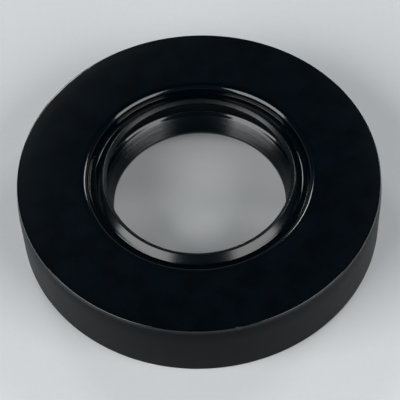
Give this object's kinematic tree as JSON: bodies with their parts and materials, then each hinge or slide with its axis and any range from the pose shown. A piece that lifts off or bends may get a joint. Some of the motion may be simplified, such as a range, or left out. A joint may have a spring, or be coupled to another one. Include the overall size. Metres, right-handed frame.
{
  "type": "radial shaft seal",
  "caption": "Rubber-covered rotary shaft seal: a thick ring with a flat air-side face, a dust lip in a groove, and a sprung main lip that grips the shaft.",
  "frame": {"origin": "middle of the oil-side rim, which is the lowest face", "axes": "+Z along the seal's axis from the oil side to the air side; X and Y are free, as the seal is round"},
  "size_m": [0.05, 0.05, 0.01],
  "materials": {
    "rubber": "satin black nitrile rubber",
    "case_steel": "phosphated steel",
    "spring_steel": "drawn spring wire"
  },
  "bodies": {
    "root": {"rubber_body": "rubber", "steel_case": "case_steel", "garter_spring": "spring_steel"}
  },
  "joints": []
}
